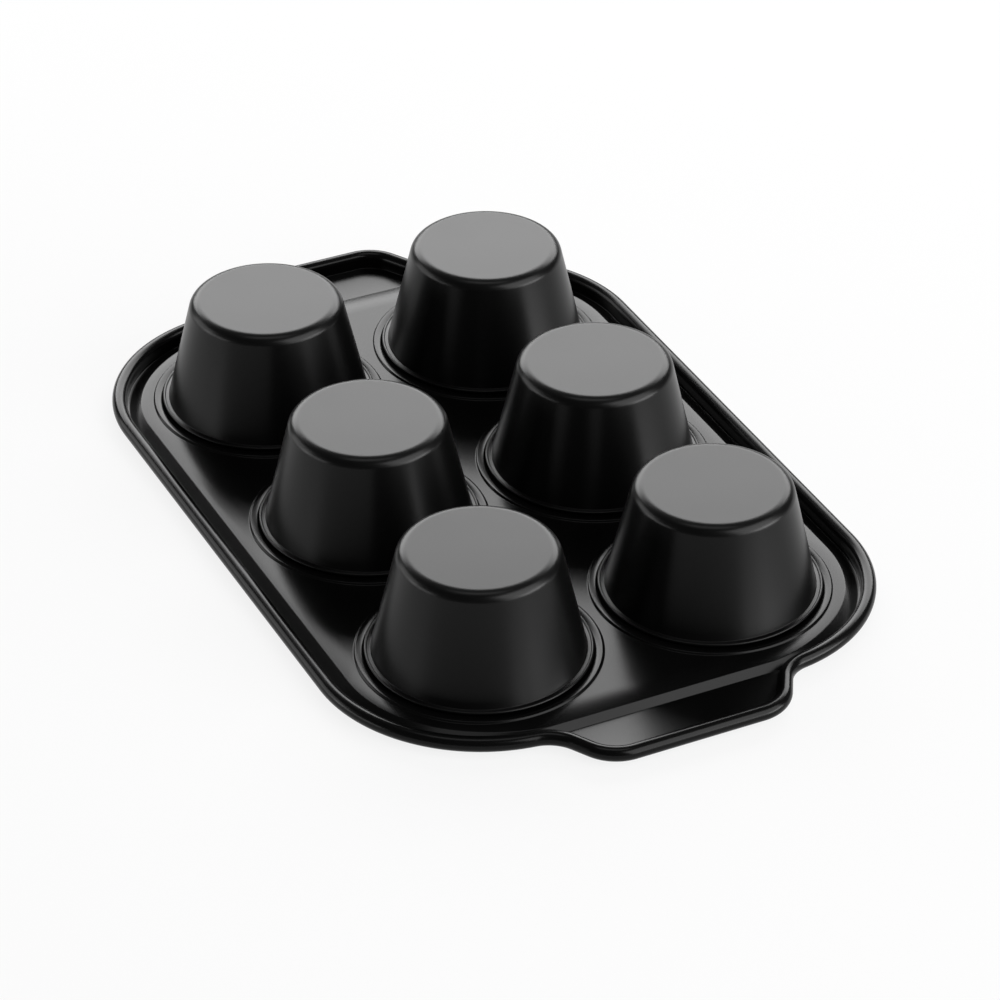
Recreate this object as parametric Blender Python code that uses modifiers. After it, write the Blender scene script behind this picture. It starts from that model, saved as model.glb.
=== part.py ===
"""Six-cup jumbo muffin pan of coated steel, lying face down with its cup bases on top.

Lengths are in metres and angles in degrees, +Z is up. The origin is on the surface that the pan lies
on, under its middle. +X runs along the pan towards the near grip tab, +Y across it to the right.
The deck is one pressed sheet: a flat with six raised ring seats, a gutter round the border, a grip tab
at each end, and a rim rolled round a wire. Six drawn cups hang in the seats by flange and lock bead.
"""

import math

import bmesh
import bpy
from mathutils import Vector

# Layout of the cups, with the deck's flat between neighbouring seats
CUP_COLUMNS = ("far", "mid", "near")
CUP_ROWS = ("left", "right")
SEAT_GAP = 0.0042

# Fit and sheet
CLEARANCE = 0.0003
DECK_SHEET = 0.0008
CUP_SHEET = 0.0004

# Cup, measured on its outer side
CUP_HEIGHT = 0.0468
CUP_BASE_RADIUS = 0.0319
CUP_SHOULDER_RADIUS = 0.0048
NECK_RADIUS = 0.0423
FLANGE_WIDTH = 0.0038
BEAD_REACH = 0.0014
BEAD_RADIUS = 0.0005
FLARE_WIDTH = 0.0014
FLARE_RISE = 0.0020

# Ring seat pressed up from the deck
SEAT_RISE = 0.0007
SEAT_STEP_WIDTH = 0.0007
SEAT_STEP_ROUND = 0.0005

# Deck's flat between the seats and the gutter, at the short ends and along the long sides
END_LAND = 0.0076
SIDE_LAND = 0.0054

# Gutter, its floor measured from the slope's foot to the roll
GUTTER_DEPTH = 0.0028
END_SLOPE_WIDTH = 0.0030
SIDE_SLOPE_WIDTH = 0.0053
END_FLOOR = 0.0005
SIDE_FLOOR = 0.0010
GUTTER_FILLET = 0.0003

# Rim rolled round its wire
WIRE_RADIUS = 0.0019
ROLL_RISE = 0.0012
ROLL_START = 180.0
ROLL_END = -110.0
CORNER_EASE = 0.0016

# Grip tab at each short end, measured along the wire
TAB_REACH = 0.0222
TAB_WIDTH = 0.0724
TAB_FLARE = 30.0
TAB_CORNER_RADIUS = 0.016
TAB_NECK_RADIUS = 0.017

# Fineness of the facets
ROUND_SEGMENTS = 24
CORNER_STEPS = 10
TAB_STEPS = 5
SLOPE_STEPS = 3
ROLL_STEPS = 8
SHOULDER_STEPS = 2
BEAD_STEPS = 3
SHARP_ANGLE = 40.0
MERGE_DISTANCE = 0.00001

# Finish of the black coating and of the bare wire
COATING_COLOR = (0.012, 0.012, 0.013, 1.0)
COATING_ROUGHNESS = 0.35
WIRE_COLOR = (0.42, 0.43, 0.45, 1.0)
WIRE_ROUGHNESS = 0.4

# Worked out from the sizes above
DECK_LEVEL = DECK_SHEET + GUTTER_DEPTH
SEAT_LEVEL = DECK_LEVEL + SEAT_RISE
FLANGE_RADIUS = NECK_RADIUS + FLANGE_WIDTH
SEAT_RADIUS = FLANGE_RADIUS + CLEARANCE + DECK_SHEET + SEAT_STEP_WIDTH
CUP_PITCH = 2 * SEAT_RADIUS + SEAT_GAP
ROLL_RADIUS = WIRE_RADIUS + CLEARANCE + DECK_SHEET
ROLL_LEVEL = DECK_LEVEL + ROLL_RISE
# From the axes of the outermost cups out to the middle of the wire
END_MARGIN = SEAT_RADIUS + END_LAND + END_SLOPE_WIDTH + END_FLOOR + ROLL_RADIUS
SIDE_MARGIN = SEAT_RADIUS + SIDE_LAND + SIDE_SLOPE_WIDTH + SIDE_FLOOR + ROLL_RADIUS
HALF_LENGTH = CUP_PITCH * (len(CUP_COLUMNS) - 1) / 2 + END_MARGIN
HALF_WIDTH = CUP_PITCH * (len(CUP_ROWS) - 1) / 2 + SIDE_MARGIN
CORNER_RADIUS = SIDE_MARGIN + CORNER_EASE


def direction(angle):
    """Unit vector in the plane at an angle in degrees from +X."""
    return Vector((math.cos(math.radians(angle)), math.sin(math.radians(angle))))


def arc(centre, radius, start, end, steps):
    """Points along an arc, each with the direction that points away from the arc's centre."""
    angles = [start + (end - start) * step / steps for step in range(steps + 1)]
    return [(centre + radius * direction(angle), direction(angle)) for angle in angles]


def angle_of(vector):
    """Angle of a vector in degrees from +X."""
    return math.degrees(math.atan2(vector.y, vector.x))


def rounded(points, radius, steps):
    """A polyline with each inner corner replaced by an arc of the given radius."""
    corners = [Vector(point) for point in points]
    line = [corners[0]]
    for before, corner, after in zip(corners, corners[1:], corners[2:]):
        arriving = (corner - before).normalized()
        leaving = (after - corner).normalized()
        turn = arriving.angle(leaving)
        reach = radius * math.tan(turn / 2)
        inward = (leaving - arriving).normalized()
        centre = corner + inward * radius / math.cos(turn / 2)
        first = corner - arriving * reach - centre
        last = corner + leaving * reach - centre
        for step in range(steps + 1):
            line.append(centre + radius * first.slerp(last, step / steps))
    line.append(corners[-1])
    return line


def rim_corner_centre():
    """Centre of the rim's arc at the near right corner."""
    return Vector((HALF_LENGTH - CORNER_RADIUS, HALF_WIDTH - CORNER_RADIUS))


def slope_path():
    """The foot of the gutter's slope round one corner, with the way and the width that it slopes."""
    centre = rim_corner_centre() - Vector((END_FLOOR, SIDE_FLOOR))
    foot = arc(centre, CORNER_RADIUS - ROLL_RADIUS, 0.0, 90.0, CORNER_STEPS)
    return [
        (point, Vector((away.x * END_SLOPE_WIDTH, away.y * SIDE_SLOPE_WIDTH)))
        for point, away in foot
    ]


def rim_path():
    """The wire's line from the middle of the near tab round to the middle of the right long side."""
    tab_corner = Vector((HALF_LENGTH + TAB_REACH, TAB_WIDTH / 2))
    side = direction(180.0 - TAB_FLARE)
    side_normal = direction(90.0 - TAB_FLARE)
    corner_reach = TAB_CORNER_RADIUS * math.tan(math.radians(90.0 - TAB_FLARE) / 2)
    corner_centre = tab_corner - Vector((TAB_CORNER_RADIUS, corner_reach))
    rim_centre = rim_corner_centre()
    # The neck's centre lies beside the tab's side and touches the rim's corner arc from outside.
    start = tab_corner + side_normal * TAB_NECK_RADIUS - rim_centre
    along = -start.dot(side)
    beyond = start.length_squared - (CORNER_RADIUS + TAB_NECK_RADIUS) ** 2
    neck_centre = rim_centre + start + side * (along - math.sqrt(along**2 - beyond))
    neck_start = 270.0 - TAB_FLARE
    neck_end = angle_of(rim_centre - neck_centre) % 360.0
    neck = arc(neck_centre, TAB_NECK_RADIUS, neck_start, neck_end, TAB_STEPS)
    rim_start = angle_of(neck_centre - rim_centre)
    return (
        arc(corner_centre, TAB_CORNER_RADIUS, 0.0, 90.0 - TAB_FLARE, TAB_STEPS)
        + [(point, -away) for point, away in neck]
        + arc(rim_centre, CORNER_RADIUS, rim_start, 90.0, CORNER_STEPS)[1:]
    )


def all_round(quarter):
    """A quarter path mirrored to the other three quarters, as one closed path."""

    def mirrored(path, x, y):
        return [(Vector((p.x * x, p.y * y)), Vector((n.x * x, n.y * y))) for p, n in path]

    right = quarter + mirrored(quarter[::-1], -1, 1)
    return right + mirrored(right[::-1], 1, -1)


def new_collection(name):
    collection = bpy.data.collections.new(name)
    bpy.context.scene.collection.children.link(collection)
    return collection


def new_material(name, color, metallic, roughness):
    """A Principled material with the given finish."""
    material = bpy.data.materials.new(name)
    material.use_nodes = True
    shader = material.node_tree.nodes["Principled BSDF"]
    shader.inputs["Base Color"].default_value = color
    shader.inputs["Metallic"].default_value = metallic
    shader.inputs["Roughness"].default_value = roughness
    return material


def add_object(name, data, collection):
    """A new object in its collection."""
    item = bpy.data.objects.new(name, data)
    collection.objects.link(item)
    return item


def add_thickness(item, thickness):
    """Sheet thickness behind the surface that the camera sees."""
    shell = item.modifiers.new("sheet", "SOLIDIFY")
    shell.thickness = thickness
    shell.offset = -1
    shell.use_even_offset = True


def edge_loop(mesh, corners):
    """The edges that join the corners into one closed loop."""
    return [mesh.edges.get(pair) for pair in zip(corners, corners[1:] + corners[:1])]


def sweep(mesh, path, section):
    """A section of (offset, level) points lofted along a closed path; returns its end loops."""
    loops = []
    for offset, level in section:
        points = [point + away * offset for point, away in path]
        loops.append([mesh.verts.new((point.x, point.y, level)) for point in points])
    for first, second in zip(loops, loops[1:]):
        for i in range(len(path)):
            mesh.faces.new((first[i - 1], first[i], second[i], second[i - 1]))
    return edge_loop(mesh, loops[0]), edge_loop(mesh, loops[-1])


def slope_section():
    """The slope's soft double curve from the deck's edge to its foot, as (share of width, level)."""
    shares = [step / SLOPE_STEPS - 1.0 for step in range(SLOPE_STEPS + 1)]
    return [
        (share, DECK_LEVEL - GUTTER_DEPTH * (1.0 + math.cos(math.pi * share)) / 2)
        for share in shares
    ]


def roll_section():
    """From the gutter's floor up its outer wall and round the wire, outwards from the wire."""
    floor_level = DECK_LEVEL - GUTTER_DEPTH
    wall = [
        (-ROLL_RADIUS - GUTTER_FILLET, floor_level),
        (-ROLL_RADIUS, floor_level),
        (-ROLL_RADIUS, ROLL_LEVEL),
    ]
    roll = arc(Vector((0.0, ROLL_LEVEL)), ROLL_RADIUS, ROLL_START, ROLL_END, ROLL_STEPS)
    return rounded(wall, GUTTER_FILLET, 2)[1:-1] + [point for point, _ in roll]


def seat_section():
    """From the deck up the step of a ring seat and in to the hole's edge, as (radius, level)."""
    step = [
        (SEAT_RADIUS, DECK_LEVEL),
        (SEAT_RADIUS - SEAT_STEP_WIDTH, SEAT_LEVEL),
        (NECK_RADIUS + CLEARANCE, SEAT_LEVEL),
    ]
    return rounded(step, SEAT_STEP_ROUND, 1)


def cup_places():
    """Name and centre of each cup."""
    for column, column_name in enumerate(CUP_COLUMNS):
        for row, row_name in enumerate(CUP_ROWS):
            x = CUP_PITCH * (column - (len(CUP_COLUMNS) - 1) / 2)
            y = CUP_PITCH * (row - (len(CUP_ROWS) - 1) / 2)
            yield f"cup_{column_name}_{row_name}", Vector((x, y))


def circle_path(centre):
    """A closed path that shrinks to a cup's centre, for seats of any radius."""
    return arc(centre, 0.0, 0.0, 360.0, ROUND_SEGMENTS)[:-1]


def make_deck(collection):
    """The pressed sheet, modelled as the surface that shows and given its thickness behind it."""
    mesh = bmesh.new()
    deck_edge, slope_foot = sweep(mesh, all_round(slope_path()), slope_section())
    floor_edge, _ = sweep(mesh, all_round(rim_path()), roll_section())
    bmesh.ops.triangle_fill(mesh, edges=slope_foot + floor_edge, use_beauty=True)
    flat_edges = list(deck_edge)
    for _, centre in cup_places():
        seat_foot, _ = sweep(mesh, circle_path(centre), seat_section())
        flat_edges += seat_foot
    bmesh.ops.triangle_fill(mesh, edges=flat_edges, use_beauty=True)
    bmesh.ops.recalc_face_normals(mesh, faces=mesh.faces)
    if sum(face.normal.z * face.calc_area() for face in mesh.faces) < 0:
        bmesh.ops.reverse_faces(mesh, faces=mesh.faces)
    data = bpy.data.meshes.new("deck")
    mesh.to_mesh(data)
    mesh.free()
    data.shade_smooth()
    data.set_sharp_from_angle(angle=math.radians(SHARP_ANGLE))
    data.materials.append(new_material("deck coating", COATING_COLOR, 0.0, COATING_ROUGHNESS))
    deck = add_object("deck", data, collection)
    add_thickness(deck, DECK_SHEET)


def make_rim_wire(collection):
    """The closed wire inside the rolled rim."""
    path = all_round(rim_path())
    data = bpy.data.curves.new("rim_wire", "CURVE")
    data.dimensions = "3D"
    data.bevel_depth = WIRE_RADIUS
    data.bevel_resolution = 2
    line = data.splines.new("POLY")
    line.points.add(len(path) - 1)
    for spot, (point, _) in zip(line.points, path):
        spot.co = (point.x, point.y, 0.0, 1.0)
    line.use_cyclic_u = True
    data.materials.append(new_material("wire steel", WIRE_COLOR, 1.0, WIRE_ROUGHNESS))
    wire = add_object("rim_wire", data, collection)
    wire.location.z = ROLL_LEVEL


def cup_profile():
    """Outer side of a cup as (radius, level above the deck), from the axis down to the flange's edge."""
    bead_bottom = SEAT_RISE + CLEARANCE
    bead_top = bead_bottom + 2 * BEAD_RADIUS
    wall_foot = Vector((NECK_RADIUS - FLARE_WIDTH, bead_top + FLARE_RISE))
    shoulder_centre = Vector((CUP_BASE_RADIUS - CUP_SHOULDER_RADIUS, CUP_HEIGHT - CUP_SHOULDER_RADIUS))
    wall = wall_foot - shoulder_centre
    # The wall runs from its foot to where it touches the shoulder's arc.
    wall_angle = angle_of(wall) + math.degrees(math.acos(CUP_SHOULDER_RADIUS / wall.length))
    shoulder = arc(shoulder_centre, CUP_SHOULDER_RADIUS, 90.0, wall_angle, SHOULDER_STEPS)
    bead_centre = Vector((NECK_RADIUS + BEAD_REACH - BEAD_RADIUS, bead_bottom + BEAD_RADIUS))
    bead = arc(bead_centre, BEAD_RADIUS, 90.0, -90.0, BEAD_STEPS)
    flange_level = SEAT_RISE - DECK_SHEET - CLEARANCE
    return (
        [Vector((0.0, CUP_HEIGHT))]
        + [point for point, _ in shoulder]
        + [wall_foot]
        + [point for point, _ in bead]
        + [Vector((NECK_RADIUS, bead_bottom))]
        + [Vector((NECK_RADIUS, flange_level)), Vector((FLANGE_RADIUS, flange_level))]
    )


def make_cup_mesh():
    """The profile that every cup is turned from."""
    data = bpy.data.meshes.new("cup")
    points = [(point.x, 0.0, point.y) for point in cup_profile()]
    data.from_pydata(points, [(i, i + 1) for i in range(len(points) - 1)], [])
    data.materials.append(new_material("cup coating", COATING_COLOR, 0.0, COATING_ROUGHNESS))
    return data


def make_cup(name, centre, data, collection):
    """A drawn cup, its profile turned round its own axis and given its thickness inwards."""
    cup = add_object(name, data, collection)
    cup.location = (centre.x, centre.y, DECK_LEVEL)
    turn = cup.modifiers.new("turn", "SCREW")
    turn.steps = ROUND_SEGMENTS
    turn.render_steps = ROUND_SEGMENTS
    turn.use_merge_vertices = True
    turn.merge_threshold = MERGE_DISTANCE
    turn.use_smooth_shade = True
    add_thickness(cup, CUP_SHEET)


def main():
    for item in list(bpy.data.objects):
        bpy.data.objects.remove(item)
    collection = new_collection("muffin_pan")
    make_deck(collection)
    make_rim_wire(collection)
    cup_mesh = make_cup_mesh()
    for name, centre in cup_places():
        make_cup(name, centre, cup_mesh, collection)


main()
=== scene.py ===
"""Six-cup jumbo muffin pan of black non-stick steel, lying face down on a white studio floor.

Lengths are in metres and angles in degrees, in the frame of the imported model: +Z up, +X along
the pan towards the near grip tab, +Y across it to the right. The pan's box and the places of its
cups come from that frame, and the shapes between them are turned, swept and rounded here.
"""

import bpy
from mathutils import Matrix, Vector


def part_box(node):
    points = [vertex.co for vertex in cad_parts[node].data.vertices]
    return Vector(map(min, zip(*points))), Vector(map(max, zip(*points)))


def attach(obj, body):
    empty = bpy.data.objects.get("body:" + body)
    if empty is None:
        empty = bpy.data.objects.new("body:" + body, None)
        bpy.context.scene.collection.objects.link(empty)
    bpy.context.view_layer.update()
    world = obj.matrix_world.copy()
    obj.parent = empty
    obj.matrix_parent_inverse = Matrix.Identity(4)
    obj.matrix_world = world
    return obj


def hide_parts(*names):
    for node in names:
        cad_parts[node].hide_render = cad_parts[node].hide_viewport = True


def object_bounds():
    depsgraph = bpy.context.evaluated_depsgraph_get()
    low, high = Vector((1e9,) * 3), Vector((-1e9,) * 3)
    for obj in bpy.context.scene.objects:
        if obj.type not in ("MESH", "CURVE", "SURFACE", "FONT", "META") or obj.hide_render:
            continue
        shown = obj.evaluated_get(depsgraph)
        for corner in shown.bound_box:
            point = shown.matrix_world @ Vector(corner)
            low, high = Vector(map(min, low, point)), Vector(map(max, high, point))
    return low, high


bl_info = {
    "name": "Muffin pan",
    "version": (1, 0, 0),
    "blender": (4, 5, 0),
    "location": "3D View > Sidebar > Muffin pan",
    "description": "Dresses the frame of a six-cup muffin pan and sets up its studio",
    "category": "Add Mesh",
}

import math

import bmesh
import bpy
from bpy.props import FloatProperty, PointerProperty, StringProperty
from mathutils import Matrix, Quaternion, Vector

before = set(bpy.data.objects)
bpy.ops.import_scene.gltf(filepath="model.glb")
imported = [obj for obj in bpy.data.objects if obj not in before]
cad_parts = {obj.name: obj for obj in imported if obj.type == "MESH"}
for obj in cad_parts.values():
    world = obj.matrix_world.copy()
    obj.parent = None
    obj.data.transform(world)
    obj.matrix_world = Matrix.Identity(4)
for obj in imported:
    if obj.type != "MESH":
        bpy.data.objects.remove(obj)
CAD_LOW, CAD_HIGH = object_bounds()
BODY = "root"
CUP_NODES = sorted(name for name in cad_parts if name.startswith("cup_"))
FLANGE_LOW, CUP_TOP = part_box(CUP_NODES[0])

# Fineness of the round shapes
TURN_SEGMENTS = 144
CORNER_STEPS = 36
TAB_STEPS = 16
ROLL_STEPS = 32
SLOPE_STEPS = 20
BEND_STEPS = 5
FOOT_STEPS = 3
SHOULDER_STEPS = 12
BEAD_STEPS = 10
MERGE_DISTANCE = 0.00001
# Faces of the deck that meet at more than this many degrees keep a sharp edge
SHARP_ANGLE = 50.0
# A flat strip beside each bend, so that the bend's shading doesn't spread over the flat
HOLD = 0.0004
# The same beside the slope's foot, as a share of the slope's width, and beside a crease
FOOT_HOLD = 0.04
CREASE_HOLD = 0.00006

# The floor's disc, and the gap that keeps it clear of the pan
FLOOR_RADIUS = 12.0
FLOOR_SEGMENTS = 96
FLOOR_GAP = 0.0002


def length(name, default, description):
    """A settable length in metres."""
    return FloatProperty(
        name=name, default=default, description=description, min=0.0, unit="LENGTH", precision=5
    )


def angle(name, default, description):
    """A settable angle, given and shown in degrees and kept in radians."""
    return FloatProperty(
        name=name, default=math.radians(default), description=description,
        subtype="ANGLE", unit="ROTATION",
    )


def share(name, default, description, low=0.0):
    """A settable share, up to 1."""
    return FloatProperty(
        name=name, default=default, description=description, min=low, max=1.0, subtype="FACTOR"
    )


def amount(name, default, description, low, high):
    """A settable plain number."""
    return FloatProperty(name=name, default=default, description=description, min=low, max=high)


def hex_color(name, default, description):
    """A settable colour, written as an sRGB hex value."""
    return StringProperty(name=name, default=default, description=description)


class CupSizes(bpy.types.PropertyGroup):
    """Sizes of one drawn cup, on its outer side."""

    sheet: length("Sheet", 0.0004, "Thickness of the cup's sheet")
    height: length("Height", 0.0468, "From the deck's face up to the cup's base")
    base_radius: length("Base radius", 0.0319, "Radius of the closed base with its shoulder")
    shoulder: length("Shoulder", 0.0048, "Rounding between base and wall")
    neck_radius: length("Neck radius", 0.0423, "Radius in the hole of the ring seat")
    flange_radius: length("Flange radius", (CUP_TOP.x - FLANGE_LOW.x) / 2, "Edge under the seat")
    bead_reach: length("Bead reach", 0.0016, "How far the lock bead stands out from the neck")
    bead_radius: length("Bead radius", 0.0006, "Rounding of the lock bead")
    foot_inset: length("Foot inset", 0.0009, "From the neck in to the foot of the wall")
    foot_rise: length("Foot rise", 0.00085, "Foot of the wall above the bottom of the bead")
    foot_round: length("Foot round", 0.0002, "Hollow rounding at the foot of the wall")
    bead_start: angle("Bead start", 168.0, "Where the bead's round begins, beside the wall's foot")


class DeckSizes(bpy.types.PropertyGroup):
    """Sizes of the pressed deck sheet."""

    sheet: length("Sheet", 0.0008, "Thickness of the deck's sheet")
    clearance: length("Clearance", 0.0003, "Gap between pieces that fit in each other")
    seat_rise: length("Seat rise", 0.0007, "How far the ring seats stand above the deck")
    seat_radius: length("Seat radius", 0.0479, "Foot of the ring seat's step")
    seat_step: length("Seat step", 0.0007, "Width of the ring seat's step")
    seat_round: length("Seat rounding", 0.0005, "Rounding at the top and foot of that step")
    gutter_depth: length("Gutter depth", 0.0028, "From the deck's face down to the gutter's floor")
    end_slope: length("End slope", 0.0030, "Width of the slope into the gutter at the short ends")
    side_slope: length("Side slope", 0.0053, "Width of that slope along the long sides")
    corner_slope: length("Corner slope", 0.0030, "How much wider the slope is in a corner")
    slope_ease: share("Slope ease", 0.07, "Soft upper bend, of the slope's width", 0.01)
    end_floor: length("End floor", 0.0005, "Gutter floor at the short ends, foot to roll")
    side_floor: length("Side floor", 0.0010, "Gutter floor along the long sides, foot to roll")
    fillet: length("Fillet", 0.0003, "Rounding between the gutter's floor and the roll")


class RimSizes(bpy.types.PropertyGroup):
    """Sizes of the rolled rim and the grip tabs, along the wire."""

    roll_radius: length("Roll radius", 0.0030, "Outside of the sheet rolled round the wire")
    roll_rise: length("Roll rise", 0.0012, "Middle of the wire above the deck's face")
    roll_end: angle("Roll end", -110.0, "Where the rolled sheet stops under the wire")
    corner_ease: length("Corner ease", 0.0016, "Corner radius beyond the side margin")
    tab_reach: length("Tab reach", 0.0222, "How far a grip tab stands out from the short end")
    tab_width: length("Tab width", 0.0724, "Width between the corners of a tab's outer edge")
    tab_flare: angle("Tab flare", 30.0, "Slant of a tab's sides")
    tab_corner: length("Tab corner", 0.0160, "Rounding of a tab's corners")
    tab_neck: length("Tab neck", 0.0170, "Hollow rounding where a tab meets the rim")


class CoatingLook(bpy.types.PropertyGroup):
    """Finish of the black non-stick coating."""

    color: hex_color("Colour", "050505", "Pigment of the coating")
    deck_roughness: share("Deck roughness", 0.21, "Satin gloss of the coating on the pressed deck")
    cup_roughness: share("Cup roughness", 0.29, "The same on the drawn cups, where it is duller")
    deck_gloss: share("Deck gloss", 0.24, "Share of mirror light that the deck's film lets out")
    cup_gloss: share("Cup gloss", 0.31, "The same on the cups")
    ior: amount("IOR", 1.35, "Refractive index of a fluoropolymer", 1.0, 2.5)
    peel_size: length("Peel size", 0.0014, "Spacing of the spray's orange peel")
    peel_height: length("Peel height", 0.0000012, "Height of that orange peel")
    grit_size: length("Grit size", 0.0003, "Spacing of the fine grit of the baked film")
    grit_height: length("Grit height", 0.0000006, "Height of that grit")
    cloud_size: length("Cloud size", 0.03, "Spacing of the faint clouds in the gloss")
    cloud_depth: share("Cloud depth", 0.01, "How much rougher and smoother the clouds are")


class WireLook(bpy.types.PropertyGroup):
    """Finish of the bare wire in the rim."""

    color: hex_color("Colour", "ACAFB2", "Colour of clean steel")
    roughness: share("Roughness", 0.4, "Dull shine that the drawing leaves")
    mark_size: length("Mark size", 0.0004, "Spacing of the marks of the die")
    mark_height: length("Mark height", 0.000004, "Height of those marks")


class StudioLook(bpy.types.PropertyGroup):
    """Floor, background and lamps."""

    floor_color: hex_color("Floor", "F4F4F4", "Colour of the seamless paper floor")
    floor_white: share("Floor white", 0.94, "Even white that the camera and the gloss see")
    floor_even: share("Floor evenness", 0.90, "Share of that white; the rest keeps the shadow")
    ambient: amount("Ambient", 0.10, "Level of the surrounding light", 0.0, 2.0)
    rear: amount("Rear panel", 7.7, "Brightness of the panel behind the pan", 0.0, 20.0)
    top: amount("Top panel", 1.8, "Brightness of the panel overhead", 0.0, 20.0)
    left: amount("Left panel", 2.6, "Brightness of the panel on the left", 0.0, 20.0)
    right: amount("Right panel", 4.6, "Brightness of the panel on the right", 0.0, 20.0)
    left_strip: amount("Left strip", 3.6, "Brightness of the low strip on the left", 0.0, 20.0)
    right_strip: amount("Right strip", 7.0, "Brightness of the low strip on the right", 0.0, 20.0)


def linear(hex_value):
    """An sRGB hex value as linear colour with alpha."""
    parts = [int(hex_value[i:i + 2], 16) / 255 for i in (0, 2, 4)]
    return [c / 12.92 if c <= 0.04045 else ((c + 0.055) / 1.055) ** 2.4 for c in parts] + [1.0]


def add_node(tree, kind, links=(), **settings):
    """A node with its settings; links are (input, source node's output) and plain input values."""
    node = tree.nodes.new(kind)
    for name, value in settings.items():
        setattr(node, name, value)
    for socket, value in links:
        if isinstance(value, bpy.types.NodeSocket):
            tree.links.new(value, node.inputs[socket])
        else:
            node.inputs[socket].default_value = value
    return node


def empty_material(name):
    """A new material and its node tree, which holds no nodes yet."""
    material = bpy.data.materials.new(name)
    material.use_nodes = True
    material.node_tree.nodes.clear()
    return material, material.node_tree


def coating(name, look, roughness, gloss_level):
    """Non-stick coating, sprayed on steel and baked: a black satin film with a faint orange peel.

    The film is smooth enough to mirror the studio's panels softly, and dark where it mirrors the
    cups. Its peel and grit are about a micrometre high and only break up the gloss.
    """
    material, tree = empty_material(name)
    place = add_node(tree, "ShaderNodeTexCoord").outputs["Object"]
    peel = add_node(
        tree, "ShaderNodeTexNoise",
        [("Vector", place), ("Scale", 1 / look.peel_size), ("Detail", 2.0), ("Roughness", 0.5)],
    )
    grit = add_node(
        tree, "ShaderNodeTexNoise",
        [("Vector", place), ("Scale", 1 / look.grit_size), ("Detail", 3.0), ("Roughness", 0.6)],
    )
    cloud = add_node(
        tree, "ShaderNodeTexNoise",
        [("Vector", place), ("Scale", 1 / look.cloud_size), ("Detail", 3.0), ("Roughness", 0.55)],
    )
    # The middle part of the noise's range, where most of its values lie, spans the cloud depth.
    gloss = add_node(
        tree, "ShaderNodeMapRange",
        [("Value", cloud.outputs["Fac"]), ("From Min", 0.3), ("From Max", 0.7),
         ("To Min", roughness - look.cloud_depth), ("To Max", roughness + look.cloud_depth)],
        clamp=False,
    )
    peel_bump = add_node(
        tree, "ShaderNodeBump",
        [("Height", peel.outputs["Fac"]), ("Distance", look.peel_height)],
    )
    grit_bump = add_node(
        tree, "ShaderNodeBump",
        [("Height", grit.outputs["Fac"]), ("Distance", look.grit_height),
         ("Normal", peel_bump.outputs["Normal"])],
    )
    shader = add_node(
        tree, "ShaderNodeBsdfPrincipled",
        [("Base Color", linear(look.color)), ("IOR", look.ior),
         ("Specular IOR Level", gloss_level), ("Roughness", gloss.outputs["Result"]),
         ("Normal", grit_bump.outputs["Normal"])],
    )
    add_node(tree, "ShaderNodeOutputMaterial", [("Surface", shader.outputs["BSDF"])])
    return material


def drawn_wire(look):
    """Bright-drawn steel wire: bare grey metal, dull from the fine marks of the drawing die."""
    material, tree = empty_material("bright-drawn steel wire")
    place = add_node(tree, "ShaderNodeTexCoord").outputs["Object"]
    marks = add_node(
        tree, "ShaderNodeTexNoise",
        [("Vector", place), ("Scale", 1 / look.mark_size), ("Detail", 2.0)],
    )
    bump = add_node(
        tree, "ShaderNodeBump",
        [("Height", marks.outputs["Fac"]), ("Distance", look.mark_height)],
    )
    shader = add_node(
        tree, "ShaderNodeBsdfPrincipled",
        [("Base Color", linear(look.color)), ("Metallic", 1.0), ("Roughness", look.roughness),
         ("Normal", bump.outputs["Normal"])],
    )
    add_node(tree, "ShaderNodeOutputMaterial", [("Surface", shader.outputs["BSDF"])])
    return material


def seamless_paper(look):
    """Seamless background paper: matt white fibre, pressed and rolled.

    The camera and the gloss see mostly an even white, so that the background is pale, and the
    rest is lit paper, which keeps the pan's soft shadow.
    """
    material, tree = empty_material("seamless paper")
    rays = add_node(tree, "ShaderNodeLightPath").outputs
    camera_or_gloss = add_node(
        tree, "ShaderNodeMath",
        [(0, rays["Is Camera Ray"]), (1, rays["Is Glossy Ray"])], operation="ADD",
    )
    seen = add_node(
        tree, "ShaderNodeMath",
        [(0, camera_or_gloss.outputs[0]), (1, rays["Is Transmission Ray"])], operation="ADD",
    )
    even = add_node(
        tree, "ShaderNodeMath",
        [(0, seen.outputs[0]), (1, look.floor_even)], operation="MULTIPLY",
    )
    paper = add_node(
        tree, "ShaderNodeBsdfPrincipled",
        [("Base Color", linear(look.floor_color)), ("Roughness", 0.9),
         ("Specular IOR Level", 0.1)],
    )
    white = add_node(tree, "ShaderNodeEmission", [("Strength", look.floor_white)])
    mix = add_node(
        tree, "ShaderNodeMixShader",
        [(0, even.outputs[0]), (1, paper.outputs[0]), (2, white.outputs[0])],
    )
    add_node(tree, "ShaderNodeOutputMaterial", [("Surface", mix.outputs[0])])
    return material


def direction(degrees):
    """Unit vector in the plane at an angle in degrees from +X."""
    return Vector((math.cos(math.radians(degrees)), math.sin(math.radians(degrees))))


def angle_of(vector):
    """Angle of a vector in degrees from +X."""
    return math.degrees(math.atan2(vector.y, vector.x))


def arc(centre, radius, start, end, steps):
    """Points along an arc, each with the direction that points away from the arc's centre."""
    angles = [start + (end - start) * step / steps for step in range(steps + 1)]
    return [(centre + radius * direction(degrees), direction(degrees)) for degrees in angles]


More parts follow.
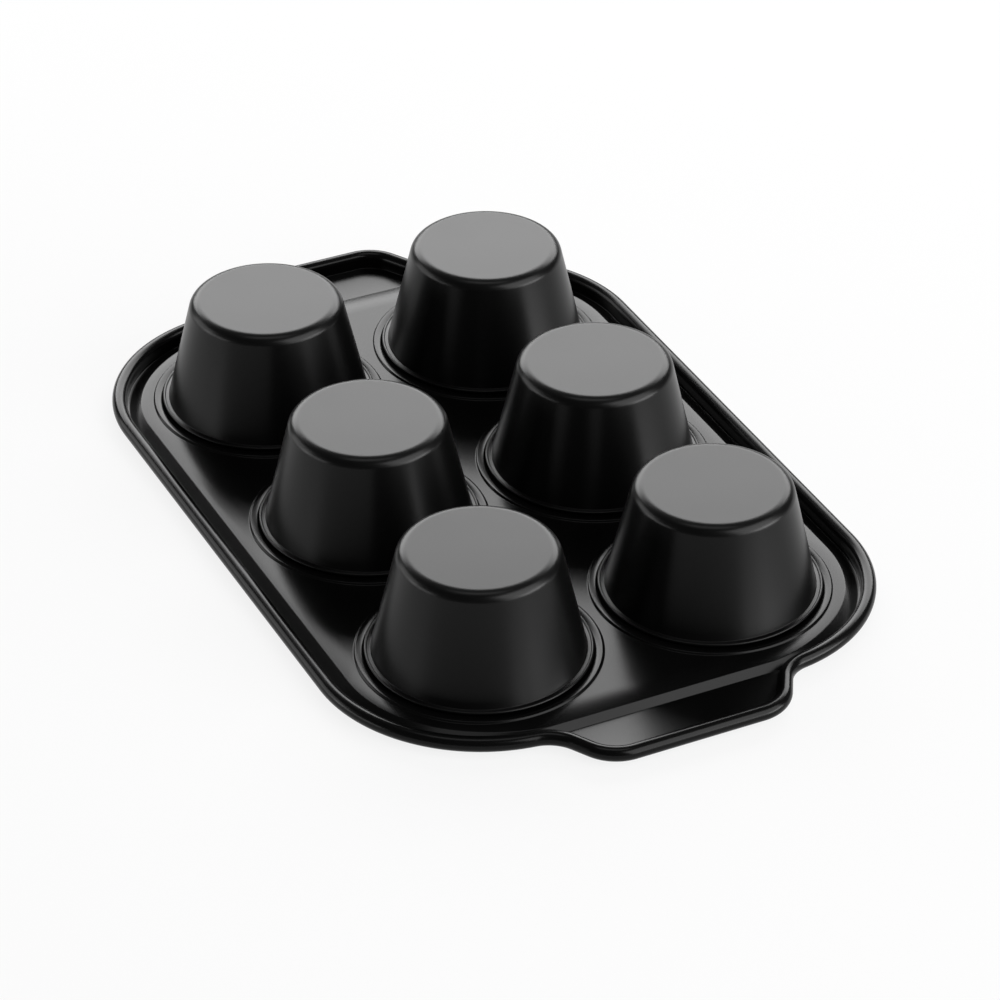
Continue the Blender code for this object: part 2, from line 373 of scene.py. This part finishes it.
def rounded(points, radius, steps):
    """A polyline with each inner corner replaced by an arc of the given radius."""
    corners = [Vector(point) for point in points]
    line = [corners[0]]
    for before, corner, after in zip(corners, corners[1:], corners[2:]):
        arriving = (corner - before).normalized()
        leaving = (after - corner).normalized()
        turn = arriving.angle(leaving)
        reach = radius * math.tan(turn / 2)
        centre = corner + (leaving - arriving).normalized() * radius / math.cos(turn / 2)
        first = corner - arriving * reach - centre
        last = corner + leaving * reach - centre
        for step in range(steps + 1):
            line.append(centre + radius * first.slerp(last, step / steps))
    line.append(corners[-1])
    return line


def rim_corner(rim):
    """Half length along the wire, and the rim's corner radius and its centre."""
    half_length = CAD_HIGH.x - rim.roll_radius - rim.tab_reach
    half_width = CAD_HIGH.y - rim.roll_radius
    cup_radius = (CUP_TOP.y - FLANGE_LOW.y) / 2
    margin = half_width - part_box("cup_near_right")[1].y + cup_radius
    radius = margin + rim.corner_ease
    return half_length, radius, Vector((half_length - radius, half_width - radius))


def rim_path(rim):
    """The wire's line from the middle of the near tab to the middle of the right long side."""
    half_length, radius, rim_centre = rim_corner(rim)
    tab_corner = Vector((half_length + rim.tab_reach, rim.tab_width / 2))
    # The turn at the tab's corner, from its outer edge to its slanting side
    corner_turn = 90.0 - math.degrees(rim.tab_flare)
    side = direction(90.0 + corner_turn)
    side_normal = direction(corner_turn)
    corner_reach = rim.tab_corner * math.tan(math.radians(corner_turn) / 2)
    corner_centre = tab_corner - Vector((rim.tab_corner, corner_reach))
    # The neck's centre lies beside the tab's side and touches the rim's corner arc from outside.
    start = tab_corner + side_normal * rim.tab_neck - rim_centre
    along = -start.dot(side)
    beyond = start.length_squared - (radius + rim.tab_neck) ** 2
    neck_centre = rim_centre + start + side * (along - math.sqrt(along**2 - beyond))
    neck_end = angle_of(rim_centre - neck_centre) % 360.0
    neck = arc(neck_centre, rim.tab_neck, 180.0 + corner_turn, neck_end, TAB_STEPS)
    rim_start = angle_of(neck_centre - rim_centre)
    return (
        arc(corner_centre, rim.tab_corner, 0.0, corner_turn, TAB_STEPS)
        + [(point, -away) for point, away in neck]
        + arc(rim_centre, radius, rim_start, 90.0, CORNER_STEPS)[1:]
    )


def slope_path(rim, deck):
    """The foot of the gutter's slope round one corner, with the way and the width that it slopes.

    In a corner the slope is wider, most of all towards the pan's end.
    """
    _, radius, rim_centre = rim_corner(rim)
    centre = rim_centre - Vector((deck.end_floor, deck.side_floor))
    foot = arc(centre, radius - rim.roll_radius, 0.0, 90.0, CORNER_STEPS)
    path = []
    for point, away in foot:
        extra = 2 * away.x**3 * away.y * deck.corner_slope
        slope = Vector((away.x * (deck.end_slope + extra), away.y * (deck.side_slope + extra)))
        path.append((point, slope))
    return path


def all_round(quarter):
    """A quarter path mirrored to the other three quarters, as one closed path."""

    def mirrored(path, x, y):
        return [(Vector((p.x * x, p.y * y)), Vector((n.x * x, n.y * y))) for p, n in path]

    right = quarter + mirrored(quarter[::-1], -1, 1)
    return right + mirrored(right[::-1], 1, -1)


def sweep(mesh, path, section):
    """Loft a section of (offset, level) points along a closed path.

    It gives the edges of the loops at the section's two ends.
    """
    loops = []
    for offset, level in section:
        points = [point + away * offset for point, away in path]
        loops.append([mesh.verts.new((point.x, point.y, level)) for point in points])
    for first, second in zip(loops, loops[1:]):
        for i in range(len(path)):
            mesh.faces.new((first[i - 1], first[i], second[i], second[i - 1]))
    return [
        [mesh.edges.get(pair) for pair in zip(loop, loop[1:] + loop[:1])]
        for loop in (loops[0], loops[-1])
    ]


def deck_level(cup):
    """The deck's face above the floor."""
    return CUP_TOP.z - cup.height


def slope_section(deck, level):
    """The slope from a soft bend at the deck's edge to its foot, as (share of width, level)."""
    ease = deck.slope_ease
    line = []
    for step in range(SLOPE_STEPS + 1):
        along = step / SLOPE_STEPS
        fall = along * along / (2 * ease) if along < ease else along - ease / 2
        line.append((along - 1.0, level - deck.gutter_depth * fall / (1.0 - ease / 2)))
    return line + [(FOOT_HOLD, level - deck.gutter_depth)]


def roll_section(deck, rim, level):
    """From the gutter's floor up its outer wall and round the wire, outwards from the wire."""
    floor_level = level - deck.gutter_depth
    roll_level = level + rim.roll_rise
    wall = [
        (-rim.roll_radius - deck.fillet, floor_level),
        (-rim.roll_radius, floor_level),
        (-rim.roll_radius, roll_level),
    ]
    end = math.degrees(rim.roll_end)
    roll = arc(Vector((0.0, roll_level)), rim.roll_radius, 180.0, end, ROLL_STEPS)
    return rounded(wall, deck.fillet, BEND_STEPS)[1:-1] + [point for point, _ in roll]


def seat_section(deck, cup, level):
    """From the deck up the step of a ring seat and in to the hole's edge, as (radius, level)."""
    top = level + deck.seat_rise
    step = [
        (deck.seat_radius + HOLD, level),
        (deck.seat_radius, level),
        (deck.seat_radius - deck.seat_step, top),
        (deck.seat_radius - deck.seat_step - HOLD, top),
    ]
    foot = (deck.seat_radius + 2 * HOLD, level)
    hole = (cup.neck_radius + deck.clearance, top)
    return [foot] + rounded(step, deck.seat_round, BEND_STEPS) + [hole]


def cup_profile(deck, cup):
    """Outer side of a cup as (radius, level above the deck), from the axis out to the flange."""
    bead_bottom = deck.seat_rise + deck.clearance
    foot = Vector((cup.neck_radius - cup.foot_inset, bead_bottom + cup.foot_rise))
    shoulder_centre = Vector((cup.base_radius - cup.shoulder, cup.height - cup.shoulder))
    wall = foot - shoulder_centre
    # The wall runs from its foot to where it touches the shoulder's arc.
    wall_angle = angle_of(wall) + math.degrees(math.acos(cup.shoulder / wall.length))
    shoulder = arc(shoulder_centre, cup.shoulder, 90.0, wall_angle, SHOULDER_STEPS)
    bead_out = cup.neck_radius + cup.bead_reach - cup.bead_radius
    bead_centre = Vector((bead_out, bead_bottom + cup.bead_radius))
    bead_start = math.degrees(cup.bead_start)
    bead = arc(bead_centre, cup.bead_radius, bead_start, -90.0, BEAD_STEPS)
    crease = bead[0][0]
    wall_foot = rounded([shoulder[-1][0], foot, crease], cup.foot_round, FOOT_STEPS)
    wall_foot.insert(-1, crease + (foot - crease).normalized() * CREASE_HOLD)
    flange_level = deck.seat_rise - deck.sheet - deck.clearance
    start = shoulder[0][0] - Vector((HOLD, 0.0))
    return (
        [Vector((0.0, cup.height)), start]
        + [point for point, _ in shoulder]
        + wall_foot[1:-1]
        + [point for point, _ in bead]
        + [Vector((cup.neck_radius, bead_bottom))]
        + [Vector((cup.neck_radius, flange_level)), Vector((cup.flange_radius, flange_level))]
    )


def add_thickness(item, thickness):
    """Sheet thickness behind the surface that the camera sees."""
    shell = item.modifiers.new("sheet", "SOLIDIFY")
    shell.thickness = thickness
    shell.offset = -1
    shell.use_even_offset = True


def add_piece(name, data, node, material):
    """A piece in the scene that stands for a node of the frame and moves with it."""
    piece = bpy.data.objects.new(name, data)
    bpy.context.scene.collection.objects.link(piece)
    data.materials.clear()
    data.materials.append(material)
    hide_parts(node)
    return piece


class MUFFIN_OT_deck(bpy.types.Operator):
    """Press the deck sheet with its ring seats, gutter, grip tabs and rolled rim"""

    bl_idname = "muffin_pan.deck"
    bl_label = "Deck"

    def execute(self, context):
        scene = context.scene
        deck, rim, cup = scene.deck_sizes, scene.rim_sizes, scene.cup_sizes
        level = deck_level(cup)
        mesh = bmesh.new()
        slope_line, rim_line = all_round(slope_path(rim, deck)), all_round(rim_path(rim))
        deck_edge, slope_foot = sweep(mesh, slope_line, slope_section(deck, level))
        floor_edge, _ = sweep(mesh, rim_line, roll_section(deck, rim, level))
        bmesh.ops.triangle_fill(mesh, edges=slope_foot + floor_edge, use_beauty=True)
        flat_edges = list(deck_edge)
        for node in CUP_NODES:
            low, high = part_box(node)
            centre = ((low + high) / 2).to_2d()
            # Swept round one point, a section's offsets are its radii.
            turn = arc(centre, 0.0, 0.0, 360.0, TURN_SEGMENTS)[:-1]
            seat_foot, _ = sweep(mesh, turn, seat_section(deck, cup, level))
            flat_edges += seat_foot
        bmesh.ops.triangle_fill(mesh, edges=flat_edges, use_beauty=True)
        # The side that the camera sees faces up, and the sheet's thickness lies under it.
        bmesh.ops.recalc_face_normals(mesh, faces=mesh.faces)
        if sum(face.normal.z * face.calc_area() for face in mesh.faces) < 0:
            bmesh.ops.reverse_faces(mesh, faces=mesh.faces)
        data = bpy.data.meshes.new("deck sheet")
        mesh.to_mesh(data)
        mesh.free()
        data.shade_smooth()
        data.set_sharp_from_angle(angle=math.radians(SHARP_ANGLE))
        look = scene.coating_look
        name = "non-stick coating on the deck, sprayed and baked"
        material = coating(name, look, look.deck_roughness, look.deck_gloss)
        piece = add_piece("pressed_deck", data, "deck", material)
        add_thickness(piece, deck.sheet)
        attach(piece, BODY)
        return {"FINISHED"}


class MUFFIN_OT_cups(bpy.types.Operator):
    """Turn the drawn cups and hang them in their seats"""

    bl_idname = "muffin_pan.cups"
    bl_label = "Cups"

    def execute(self, context):
        scene = context.scene
        deck, cup = scene.deck_sizes, scene.cup_sizes
        points = [(point.x, 0.0, point.y) for point in cup_profile(deck, cup)]
        look = scene.coating_look
        name = "non-stick coating on the cups, sprayed and baked"
        material = coating(name, look, look.cup_roughness, look.cup_gloss)
        data = bpy.data.meshes.new("drawn cup")
        data.from_pydata(points, [(i, i + 1) for i in range(len(points) - 1)], [])
        for node in CUP_NODES:
            low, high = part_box(node)
            centre = (low + high) / 2
            piece_name = node.replace("cup_", "drawn_cup_")
            piece = add_piece(piece_name, data, node, material)
            piece.location = (centre.x, centre.y, deck_level(cup))
            turn = piece.modifiers.new("turn", "SCREW")
            turn.steps = TURN_SEGMENTS
            turn.render_steps = TURN_SEGMENTS
            turn.use_merge_vertices = True
            turn.merge_threshold = MERGE_DISTANCE
            turn.use_smooth_shade = True
            add_thickness(piece, cup.sheet)
            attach(piece, BODY)
        return {"FINISHED"}


class MUFFIN_OT_rim_wire(bpy.types.Operator):
    """Give the wire inside the rolled rim its steel"""

    bl_idname = "muffin_pan.rim_wire"
    bl_label = "Rim wire"

    def execute(self, context):
        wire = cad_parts["rim_wire"]
        wire.data.materials.clear()
        wire.data.materials.append(drawn_wire(context.scene.wire_look))
        return {"FINISHED"}


# Camera of the photograph, fitted to the cup bases, the rings and the rim
CAMERA_AZIMUTH = 63.196
CAMERA_ELEVATION = 33.508
CAMERA_ROLL = 0.5913
CAMERA_DISTANCE = 1.68884
CAMERA_TARGET = Vector((0.043002, 0.002830, 0.033995))
CAMERA_LENS = 155.297
CAMERA_SENSOR = 36.0
CAMERA_SHIFT = (-0.037084, -0.025175)


def backwards(azimuth, elevation):
    """Unit vector towards an observer, azimuth 0 on the -Y side and 90 on the +X side."""
    a, e = math.radians(azimuth), math.radians(elevation)
    return Vector((math.sin(a) * math.cos(e), -math.cos(a) * math.cos(e), math.sin(e)))


def add_camera():
    """The photograph's camera, for a square picture."""
    back = backwards(CAMERA_AZIMUTH, CAMERA_ELEVATION)
    across = backwards(CAMERA_AZIMUTH + 90.0, 0.0)
    upwards = back.cross(across)
    turn = math.radians(CAMERA_ROLL)
    right = across * math.cos(turn) + upwards * math.sin(turn)
    up = upwards * math.cos(turn) - across * math.sin(turn)
    data = bpy.data.cameras.new("camera")
    data.sensor_width = CAMERA_SENSOR
    data.lens = CAMERA_LENS
    data.shift_x, data.shift_y = CAMERA_SHIFT
    camera = bpy.data.objects.new("camera", data)
    bpy.context.scene.collection.objects.link(camera)
    matrix = Matrix((right, up, back)).transposed().to_4x4()
    matrix.translation = CAMERA_TARGET + back * CAMERA_DISTANCE
    camera.matrix_world = matrix
    bpy.context.scene.camera = camera


def add_panel(name, brightness, bearing, elevation, width, height, distance=2.0, lean=0.0):
    """A soft panel that faces the pan; brightness is what a mirror would show of it.

    The bearing is counted from the camera's azimuth, to the right. The lean turns the panel in its
    own plane.
    """
    data = bpy.data.lights.new(name, "AREA")
    data.shape = "RECTANGLE"
    data.size, data.size_y = width, height
    data.energy = brightness * math.pi * width * height
    panel = bpy.data.objects.new(name, data)
    bpy.context.scene.collection.objects.link(panel)
    back = backwards(CAMERA_AZIMUTH + bearing, elevation)
    panel.location = back * distance
    panel.rotation_mode = "QUATERNION"
    turn = Quaternion((0.0, 0.0, 1.0), math.radians(lean))
    panel.rotation_quaternion = back.to_track_quat("Z", "Y") @ turn
    panel.visible_camera = False


class MUFFIN_OT_studio(bpy.types.Operator):
    """Lay the white floor and set up the lamps and the camera"""

    bl_idname = "muffin_pan.studio"
    bl_label = "Studio"

    def execute(self, context):
        scene = context.scene
        look = scene.studio_look
        mesh = bmesh.new()
        bmesh.ops.create_circle(
            mesh, cap_ends=True, segments=FLOOR_SEGMENTS, radius=FLOOR_RADIUS
        )
        data = bpy.data.meshes.new("floor")
        mesh.to_mesh(data)
        mesh.free()
        floor = bpy.data.objects.new("floor", data)
        scene.collection.objects.link(floor)
        floor.location.z = CAD_LOW.z - FLOOR_GAP
        data.materials.append(seamless_paper(look))

        world = bpy.data.worlds.new("studio")
        world.use_nodes = True
        background = world.node_tree.nodes["Background"].inputs
        background["Strength"].default_value = look.ambient
        background["Color"].default_value = (1.0, 1.0, 1.0, 1.0)
        scene.world = world

        add_panel("rear panel", look.rear, 180.0, 30.3, 3.0, 0.95, lean=-6.0)
        add_panel("top panel", look.top, 0.0, 88.0, 1.4, 0.8, distance=2.4)
        add_panel("left panel", look.left, -104.0, 15.0, 1.4, 1.1)
        add_panel("left strip", look.left_strip, -75.0, 8.0, 1.4, 0.5)
        add_panel("right strip", look.right_strip, 72.0, 8.0, 1.4, 0.5)
        add_panel("right panel", look.right, 60.0, 28.0, 2.0, 2.0)
        add_camera()
        scene.view_settings.view_transform = "Standard"
        return {"FINISHED"}


class MUFFIN_PT_panel(bpy.types.Panel):
    """Lists the pan's pieces and their sizes"""

    bl_idname = "MUFFIN_PT_panel"
    bl_label = "Muffin pan"
    bl_space_type = "VIEW_3D"
    bl_region_type = "UI"
    bl_category = "Muffin pan"

    def draw(self, context):
        for operator, groups in STEPS:
            box = self.layout.box()
            box.operator(operator.bl_idname)
            for group in groups:
                sizes = getattr(context.scene, group)
                for name in sizes.__annotations__:
                    box.prop(sizes, name)


GROUPS = {
    "cup_sizes": CupSizes,
    "deck_sizes": DeckSizes,
    "rim_sizes": RimSizes,
    "coating_look": CoatingLook,
    "wire_look": WireLook,
    "studio_look": StudioLook,
}
STEPS = (
    (MUFFIN_OT_deck, ("deck_sizes", "rim_sizes", "coating_look")),
    (MUFFIN_OT_cups, ("cup_sizes",)),
    (MUFFIN_OT_rim_wire, ("wire_look",)),
    (MUFFIN_OT_studio, ("studio_look",)),
)


def register():
    for group in GROUPS.values():
        bpy.utils.register_class(group)
    for operator, _ in STEPS:
        bpy.utils.register_class(operator)
    bpy.utils.register_class(MUFFIN_PT_panel)
    for name, group in GROUPS.items():
        setattr(bpy.types.Scene, name, PointerProperty(type=group))


def unregister():
    for name in GROUPS:
        delattr(bpy.types.Scene, name)
    bpy.utils.unregister_class(MUFFIN_PT_panel)
    for operator, _ in STEPS:
        bpy.utils.unregister_class(operator)
    for group in GROUPS.values():
        bpy.utils.unregister_class(group)


def main():
    """Build the pan and its studio."""
    register()
    bpy.ops.muffin_pan.deck()
    bpy.ops.muffin_pan.cups()
    bpy.ops.muffin_pan.rim_wire()
    bpy.ops.muffin_pan.studio()


if __name__ == "__main__":
    main()
